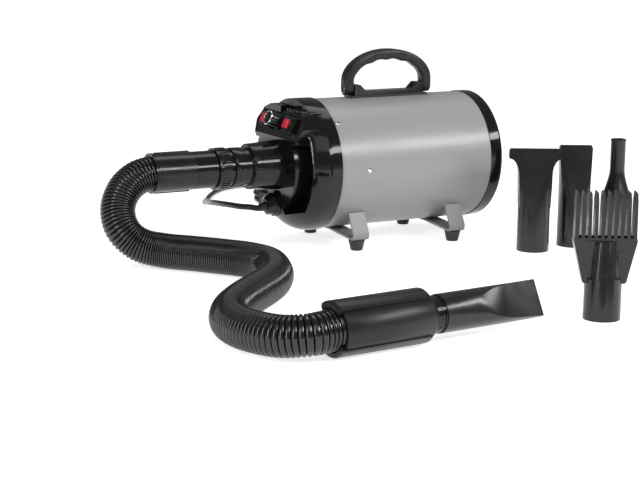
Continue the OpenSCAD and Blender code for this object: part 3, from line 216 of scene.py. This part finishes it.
def rubber(name, grey, rough):
    f = Finish(name, (grey, grey, grey * 1.02), rough, Sheen_Weight=0.15, Sheen_Roughness=0.5)
    f.vary_rough(f.noise(0.012), 0.07)
    f.vary_colour(f.noise(0.02, 4), (grey * 1.5,) * 3)
    f.bump(f.noise(0.0005, 3), 0.00004)
    return f.material


def foam(name, grey):
    f = Finish(name, (grey, grey, grey), 0.95)
    f.vary_colour(f.cells(0.0016), (grey * 0.25,) * 3, (0.1, 0.6))
    f.bump(f.cells(0.0016), 0.0008)
    return f.material


def red_plastic():
    f = Finish("red_plastic", (0.62, 0.012, 0.03), 0.14, Coat_Weight=0.5, Coat_Roughness=0.05,
               Subsurface_Weight=0.08, Subsurface_Scale=0.002)
    f.vary_colour(f.noise(0.01), (0.72, 0.02, 0.04))
    f.vary_rough(f.noise(0.004), 0.04)
    f.bump(f.noise(0.006, 1), 0.0001, 0.3)
    return f.material


def circuit_board():
    f = Finish("green_board", (0.02, 0.16, 0.07), 0.4, Coat_Weight=0.3)
    f.vary_colour(f.cells(0.004, "DISTANCE_TO_EDGE"), (0.05, 0.30, 0.14), (0.0, 0.12))
    f.bump(f.noise(0.001, 2), 0.00005)
    return f.material


def windings():
    f = Finish("windings", (0.50, 0.20, 0.07), 0.35, 0.7)
    f.vary_colour(f.noise(0.0012, 2, (1, 8, 8)), (0.30, 0.10, 0.03))
    f.bump(f.noise(0.0008, 2, (1, 8, 8)), 0.0002)
    return f.material


def mica():
    f = Finish("heater_mica", (0.62, 0.55, 0.40), 0.45)
    f.vary_colour(f.noise(0.006, 5), (0.42, 0.34, 0.22))
    f.bump(f.noise(0.003, 4), 0.0002)
    return f.material


FINISHES = {
    "silver_paint": silver_paint("silver_paint", 0.33, 0.34),
    "leg_steel": silver_paint("leg_steel", 0.31, 0.5),
    "black_plastic": moulded("black_plastic", 0.006, 0.11, 0.0005, 0.000004, 0.36, wave=0.04),
    "dark_plastic": moulded("dark_plastic", 0.03, 0.4),
    "hose_plastic": moulded("hose_plastic", 0.006, 0.17, 0.0005, 0.000005, 0.6, wave=0.03),
    "nozzle_plastic": moulded("nozzle_plastic", 0.012, 0.23, 0.0004, 0.00001, 0.42, wave=0.06),
    "handle_plastic": moulded("handle_plastic", 0.012, 0.34, 0.0009, 0.00009),
    "cord_jacket": moulded("cord_jacket", 0.008, 0.3),
    "soft_rubber": moulded("soft_rubber", 0.007, 0.2, gloss=0.4),
    "grip_rubber": moulded("grip_rubber", 0.010, 0.36, 0.0005, 0.00004, gloss=0.35),
    "foot_rubber": rubber("foot_rubber", 0.016, 0.65),
    "cord_tie": rubber("cord_tie", 0.03, 0.6),
    "bright_rim": bare_metal("bright_rim", (0.85, 0.85, 0.87), 0.10),
    "steel": bare_metal("steel", (0.66, 0.66, 0.68), 0.22),
    "fan_metal": bare_metal("fan_metal", (0.72, 0.73, 0.75), 0.32),
    "motor_iron": bare_metal("motor_iron", (0.20, 0.21, 0.22), 0.5, (12, 1, 1)),
    "heater_wire": bare_metal("heater_wire", (0.42, 0.36, 0.30), 0.35),
    "pin_brass": bare_metal("pin_brass", (0.72, 0.55, 0.28), 0.22),
    "filter_foam": foam("filter_foam", 0.05),
    "liner_foam": foam("liner_foam", 0.14),
    "red_plastic": red_plastic(),
    "green_board": circuit_board(),
    "windings": windings(),
    "heater_mica": mica(),
}


def dress(piece, finish):
    piece.data.materials.clear()
    piece.data.materials.append(FINISHES[finish])
    return piece


# ---------- routes and tubes ----------

def smooth_route(points, steps):
    """Points of one smooth curve through the route's points, as the solids follow it."""
    def knot(i):
        if i < 0:
            return 2 * points[0] - points[1]
        if i >= len(points):
            return 2 * points[-1] - points[-2]
        return points[i]
    made = []
    for i in range(len(points) - 1):
        a, b, c, d = (knot(i + k) for k in (-1, 0, 1, 2))
        for k in range(steps):
            t = k / steps
            made.append(0.5 * (2 * b + (c - a) * t + (2 * a - 5 * b + 4 * c - d) * t * t
                               + (3 * b - a - 3 * c + d) * t ** 3))
    return made + [points[-1]]


def run_lengths(points):
    made = [0.0]
    for a, b in zip(points, points[1:]):
        made.append(made[-1] + (b - a).length)
    return made


def stations_along(points, places):
    """Centre and a turning-free frame (ahead, side, up) at each of the places along the points."""
    ends = run_lengths(points)
    made, k, up = [], 0, Vector((0, 0, 1))
    for s in places:
        while k < len(ends) - 2 and ends[k + 1] < s:
            k += 1
        part = (s - ends[k]) / (ends[k + 1] - ends[k])
        before, after = points[max(k - 1, 0)], points[min(k + 2, len(points) - 1)]
        ahead = ((points[k + 1] - before).normalized() * (1 - part)
                 + (after - points[k]).normalized() * part).normalized()
        up = (up - ahead * up.dot(ahead)).normalized()
        made.append((points[k].lerp(points[k + 1], part), ahead, ahead.cross(up), up))
    return made


def finish_mesh(bm, name, body, finish, sharp=35):
    """Turns a bmesh into a smooth-shaded piece that rides on a body and has a finish."""
    mesh = bpy.data.meshes.new(name)
    bm.to_mesh(mesh)
    bm.free()
    mesh.shade_smooth()
    mesh.set_sharp_from_angle(angle=math.radians(sharp))
    piece = add_object(name, mesh)
    dress(piece, finish)
    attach(piece, body)
    return piece


def tube(points, rings, sides):
    """An open bmesh tube: rings is a list of (place along the points, radius)."""
    bm = bmesh.new()
    bmesh.ops.create_grid(bm, x_segments=len(rings) - 1, y_segments=sides, size=0.5)
    frames = stations_along(points, [s for s, _ in rings])
    for v in bm.verts:
        i = round((v.co.x + 0.5) * (len(rings) - 1))
        turn = 2 * math.pi * (v.co.y + 0.5)
        centre, _, side, up = frames[i]
        v.co = centre + rings[i][1] * (side * math.cos(turn) + up * math.sin(turn))
    bmesh.ops.remove_doubles(bm, verts=bm.verts, dist=1e-6)
    bmesh.ops.recalc_face_normals(bm, faces=bm.faces)
    return bm


# ---------- ribbed hose ----------

HOSE_R, HOSE_BORE, RIB_DEPTH = 0.023, 0.017, 0.0030
HOSE_SIDES, BORE_SIDES, BORE_RINGS = 36, 24, 120
# Pitch of the ribs above which their grooves have the full depth
FULL_PITCH = 0.0042
# Place of the sleeve's open end along the barrel's axis, in millimetres
SLEEVE_END = -358.4
# How far the grip is turned away from the barrel's direction
GRIP_TURN = math.radians(5.9)


def from_grip(s):
    """A point on the grip's axis, measured in millimetres from its open end."""
    return on_floor_plan(-380 + s * math.cos(GRIP_TURN), -542 + s * math.sin(GRIP_TURN), 30)


HOSE_ROUTE = [at_barrel(SLEEVE_END + 46, 0, 2), at_barrel(SLEEVE_END + 23, 0, 2),
              at_barrel(SLEEVE_END - 1, -1, 2)] + [
    on_floor_plan(*p) for p in (
        (-381, -4, 108.5), (-400, -10, 94.5), (-411.5, -19, 73), (-410.5, -34, 49.3),
        (-393.5, -48, 31), (-367, -66, 24), (-338, -96, 23.2), (-310.5, -131, 23.2),
        (-291, -160, 23.2), (-282, -198, 23.2), (-294, -240, 23.2), (-311.5, -272, 23.2),
        (-333.5, -298, 23.2), (-364.5, -328, 23.2), (-398.5, -362, 23.2), (-426.5, -397, 23.2),
        (-443, -431, 23.2), (-446.5, -462, 23.3), (-441, -493, 23.9), (-427.5, -524, 25.4),
        (-405, -541.5, 28.2))
] + [from_grip(s) for s in (0, 23, 60)]


def rib_pitch(share):
    """Length of one rib: the hose is drawn out near its ends and pushed together between them."""
    stretch = ((0.0, 4.9), (0.07, 4.8), (0.13, 4.1), (0.17, 4.6), (0.20, 4.2), (0.24, 3.3),
               (0.30, 3.2), (0.38, 3.5), (0.46, 2.2), (0.52, 1.9), (0.66, 1.9), (0.72, 2.8),
               (0.78, 4.4), (0.83, 5.4), (1.0, 5.2))
    for (a, p), (b, q) in zip(stretch, stretch[1:]):
        if share <= b:
            return (p + (q - p) * (share - a) / (b - a)) * MM
    return stretch[-1][1] * MM


def ribbed_hose():
    """The hose as one ribbed tube with its bore, closed at both ends."""
    points = smooth_route(HOSE_ROUTE, 8)
    whole = run_lengths(points)[-1]
    wave = ((0.0, 1.0), (0.05, 0.6), (0.15, 0.27), (0.31, 0.07), (0.5, 0.0), (0.69, 0.07),
            (0.85, 0.27), (0.95, 0.6))
    rings, s = [], 0.0
    while s < whole:
        pitch = rib_pitch(s / whole)
        depth = RIB_DEPTH * min(1.0, (pitch / FULL_PITCH) ** 1.5)
        for part, low in wave:
            at = s + (part - 0.5) * pitch
            if 0 <= at <= whole:
                rings.append((at, HOSE_R - depth * low))
        s += pitch
    outside = tube(points, rings, HOSE_SIDES)
    inner = [(whole * i / BORE_RINGS, HOSE_BORE) for i in range(BORE_RINGS + 1)]
    bore = tube(points, inner, BORE_SIDES)
    bmesh.ops.reverse_faces(bore, faces=bore.faces)
    lining = bpy.data.meshes.new("lining")
    bore.to_mesh(lining)
    bore.free()
    outside.from_mesh(lining)
    rims = [e for e in outside.edges if e.is_boundary]
    bmesh.ops.bridge_loops(outside, edges=[e for e in rims if e.verts[0].co.y > 0])
    bmesh.ops.bridge_loops(outside, edges=[e for e in outside.edges if e.is_boundary])
    hose = finish_mesh(outside, "ribbed_hose", "machine", "hose_plastic", 80)
    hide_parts("hose")


# ---------- mains lead ----------

CORD_R = 0.004
# Direction in which the lead leaves the gland
TILT = math.radians(12)
LEAVE = Vector((-math.cos(TILT), 0, -math.sin(TILT)))
GLAND_MOUTH = at_barrel(-174, 0, -51.3) + 17 * MM * LEAVE
BOOT_LENGTH = 9
# The stored coil, in millimetres: its middle behind the barrel, its outer radius,
# the step from turn to turn, and the heights of its two layers
COIL_Y, COIL_R, COIL_STEP = 306, 54, 9.4
COIL_LOW, COIL_HIGH = 5.2, 13.9
COIL_TURNS = 5


def mains_lead():
    """The lead from the gland round behind the machine, ending in the stored coil."""
    run = [GLAND_MOUTH, GLAND_MOUTH + BOOT_LENGTH * MM * LEAVE] + [on_floor_plan(*p) for p in (
        (-210, 4, 57), (-219, 17, 56.5), (-223, 36, 55.5), (-224, 62, 53), (-220, 97, 48.5),
        (-210, 135, 42), (-196, 175, 35.5), (-181.5, 215, 28.5), (-165, 255, 20), (-147, 295, 11.5),
        (-127, 335, 5.2), (-102, 374, 5.2), (-75, 408, 5.2), (-46, 432, 5.2), (-10, 440, 5.2),
        (24, 430, 5.2), (46, 405, 5.2), (54, 374, 5.2), (54, 344, 5.2), (54, 314, 5.2))]
    points = smooth_route(run, 5)
    # Wound inwards in the lower layer and outwards in the upper one
    half, steps = COIL_TURNS / 2, 48
    for i in range(1, COIL_TURNS * steps + 1):
        q = i / steps
        r = COIL_R - COIL_STEP * (half - abs(q - half))
        rise = min(max((q - half + 0.25) * 2, 0), 1)
        turn = -2 * math.pi * q
        points.append(on_floor_plan(r * math.cos(turn), COIL_Y + r * math.sin(turn),
                                    COIL_LOW + (COIL_HIGH - COIL_LOW) * rise))
    points += [on_floor_plan(COIL_R, COIL_Y - y, COIL_HIGH) for y in (8, 17, 27)]
    curve = bpy.data.curves.new("mains_lead", "CURVE")
    curve.dimensions = "3D"
    curve.fill_mode = "FULL"
    curve.bevel_depth = CORD_R
    curve.bevel_resolution = 3
    curve.use_fill_caps = True
    line = curve.splines.new("POLY")
    line.points.add(len(points) - 1)
    for knot, p in zip(line.points, points):
        knot.co = (*p, 1)
    line.use_smooth = True
    lead = add_object("mains_lead", curve)
    dress(lead, "cord_jacket")
    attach(lead, "machine")
    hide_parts("power_cord", "cord_coil")


def cord_boot():
    """The tapered rubber that starts 1 mm inside the gland and lets the lead bend gently."""
    middle = GLAND_MOUTH + (BOOT_LENGTH / 2 - 1) * MM * LEAVE
    place = Matrix.Translation(middle) @ LEAVE.to_track_quat("Z", "Y").to_matrix().to_4x4()
    bm = bmesh.new()
    bmesh.ops.create_cone(bm, cap_ends=True, segments=32, radius1=6.6 * MM, radius2=4.5 * MM,
                          depth=BOOT_LENGTH * MM, matrix=place)
    finish_mesh(bm, "cord_boot", "machine", "soft_rubber")


# ---------- rounded mouldings and pressings ----------

def rounded(node, width, segments=2, corner=38):
    """A copy of a solid, its facets merged and its corners rounded, in that solid's place."""
    bm = bmesh.new()
    bm.from_mesh(nodes[node].data)
    bmesh.ops.remove_doubles(bm, verts=bm.verts, dist=3e-6)
    bmesh.ops.dissolve_limit(bm, angle_limit=math.radians(0.5), verts=bm.verts, edges=bm.edges)
    piece = finish_mesh(bm, node + "_rounded", body_of[node], finish_of[node], corner)
    soften = piece.modifiers.new("rounded corners", "BEVEL")
    soften.width = width * MM
    soften.segments = segments
    soften.limit_method = "ANGLE"
    soften.angle_limit = math.radians(corner)
    soften.harden_normals = True
    soften.miter_outer = "MITER_ARC"
    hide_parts(node)
    return piece


# Width of each node's rounded corners in millimetres, and the segments across it
CORNERS = {
    "front_cap": (0.9, 3), "control_panel": (0.4, 2), "vent_louvres": (0.5, 2),
    "switch_bezels": (0.5, 2), "speed_knob": (0.4, 2), "knob_rim": (0.3, 2),
    "power_rocker": (0.6, 3), "heat_rocker": (0.6, 3), "outlet_spout": (0.5, 2),
    "outlet_collar": (0.4, 2), "lock_ring": (0.4, 2), "hose_cuff": (0.3, 2),
    "hose_sleeve": (0.6, 3), "grip_sleeve": (0.8, 3), "end_ring": (0.4, 2),
    "flat_nozzle": (0.5, 2), "wide_nozzle": (0.5, 2), "slim_nozzle": (0.5, 2),
    "cone_nozzle": (0.4, 2), "comb_nozzle": (0.4, 2), "rear_ring": (0.8, 3),
    "intake_grille": (0.4, 2), "handle_base": (0.9, 3), "handle_bail": (1.0, 3),
    "leg_front": (0.5, 2), "leg_rear": (0.5, 2), "rubber_feet": (0.8, 3),
    "cord_gland": (0.5, 2), "mains_plug": (0.8, 3), "plug_pins": (0.3, 2),
    "leg_bolts": (0.4, 2), "body_screws": (0.3, 2), "foot_screws": (0.3, 2),
}

softened = {name: rounded(name, *corner) for name, corner in CORNERS.items()}

ribbed_hose()
mains_lead()
cord_boot()

for name, node in nodes.items():
    dress(node, finish_of[name])


# ---------- studio ----------

def math_node(tree, operation):
    made = tree.nodes.new("ShaderNodeMath")
    made.operation = operation
    return made


def seen_directly(tree):
    """1 where a ray from the camera, or one that gloss or glass sends on, meets the backdrop."""
    rays = tree.nodes.new("ShaderNodeLightPath")
    found = rays.outputs["Is Camera Ray"]
    for kind in ("Is Glossy Ray", "Is Transmission Ray"):
        either = math_node(tree, "MAXIMUM")
        tree.links.new(found, either.inputs[0])
        tree.links.new(rays.outputs[kind], either.inputs[1])
        found = either.outputs[0]
    return found, rays


def studio_floor():
    bm = bmesh.new()
    bmesh.ops.create_grid(bm, x_segments=1, y_segments=1, size=2.6)
    mesh = bpy.data.meshes.new("studio_floor")
    bm.to_mesh(mesh)
    bm.free()
    floor = add_object("studio_floor", mesh)
    material = bpy.data.materials.new("pale_floor")
    material.use_nodes = True
    tree = material.node_tree
    shader = tree.nodes["Principled BSDF"]
    shader.inputs["Base Color"].default_value = (0.9, 0.9, 0.9, 1)
    shader.inputs["Roughness"].default_value = 0.9
    shader.inputs["Specular IOR Level"].default_value = 0.1
    shader.inputs["Emission Color"].default_value = (1, 1, 1, 1)
    glow = math_node(tree, "MULTIPLY")
    glow.inputs[1].default_value = 0.72
    tree.links.new(seen_directly(tree)[0], glow.inputs[0])
    tree.links.new(glow.outputs[0], shader.inputs["Emission Strength"])
    mesh.materials.append(material)


def studio_world():
    """White where it is seen, dimmer overhead in reflections, and a soft grey light all round."""
    world = bpy.data.worlds.new("studio")
    bpy.context.scene.world = world
    world.use_nodes = True
    tree = world.node_tree
    tree.nodes.clear()
    out = tree.nodes.new("ShaderNodeOutputWorld")
    dim, white = tree.nodes.new("ShaderNodeBackground"), tree.nodes.new("ShaderNodeBackground")
    for shade in (dim, white):
        shade.inputs["Color"].default_value = (1, 1, 1, 1)
    dim.inputs["Strength"].default_value = 0.24
    ways, parts = tree.nodes.new("ShaderNodeTexCoord"), tree.nodes.new("ShaderNodeSeparateXYZ")
    overhead = tree.nodes.new("ShaderNodeMapRange")
    for ends, values in (("From", (-0.12, 0.12)), ("To", (1.0, 0.2))):
        overhead.inputs[ends + " Min"].default_value = values[0]
        overhead.inputs[ends + " Max"].default_value = values[1]
    seen, rays = seen_directly(tree)
    level = math_node(tree, "MAXIMUM")
    tree.links.new(ways.outputs["Generated"], parts.inputs[0])
    tree.links.new(parts.outputs["Z"], overhead.inputs["Value"])
    tree.links.new(overhead.outputs["Result"], level.inputs[0])
    tree.links.new(rays.outputs["Is Camera Ray"], level.inputs[1])
    tree.links.new(level.outputs[0], white.inputs["Strength"])
    pick = tree.nodes.new("ShaderNodeMixShader")
    tree.links.new(seen, pick.inputs["Fac"])
    tree.links.new(dim.outputs[0], pick.inputs[1])
    tree.links.new(white.outputs[0], pick.inputs[2])
    tree.links.new(pick.outputs[0], out.inputs["Surface"])


def softbox(name, place, aim, size, power):
    light = bpy.data.lights.new(name, "AREA")
    light.shape = "RECTANGLE"
    light.size, light.size_y = size
    light.energy = power
    lamp = add_object(name, light)
    lamp.location = place
    lamp.rotation_euler = (Vector(aim) - Vector(place)).to_track_quat("-Z", "Y").to_euler()


studio_floor()
studio_world()
softbox("key_box", (0.95, -1.2, 1.0), (0.0, 0.1, 0.12), (1.5, 0.3), 20)
softbox("front_box", (-0.5, -1.9, 2.0), (0.0, 0.1, 0.1), (2.4, 1.3), 11)
softbox("side_box", (-2.2, -0.9, 0.9), (-0.1, 0.1, 0.12), (0.3, 1.5), 20)
softbox("top_box", (0.3, 0.9, 2.4), (0.1, 0.1, 0.1), (2.0, 1.0), 13)

bpy.context.scene.view_settings.view_transform = "Standard"
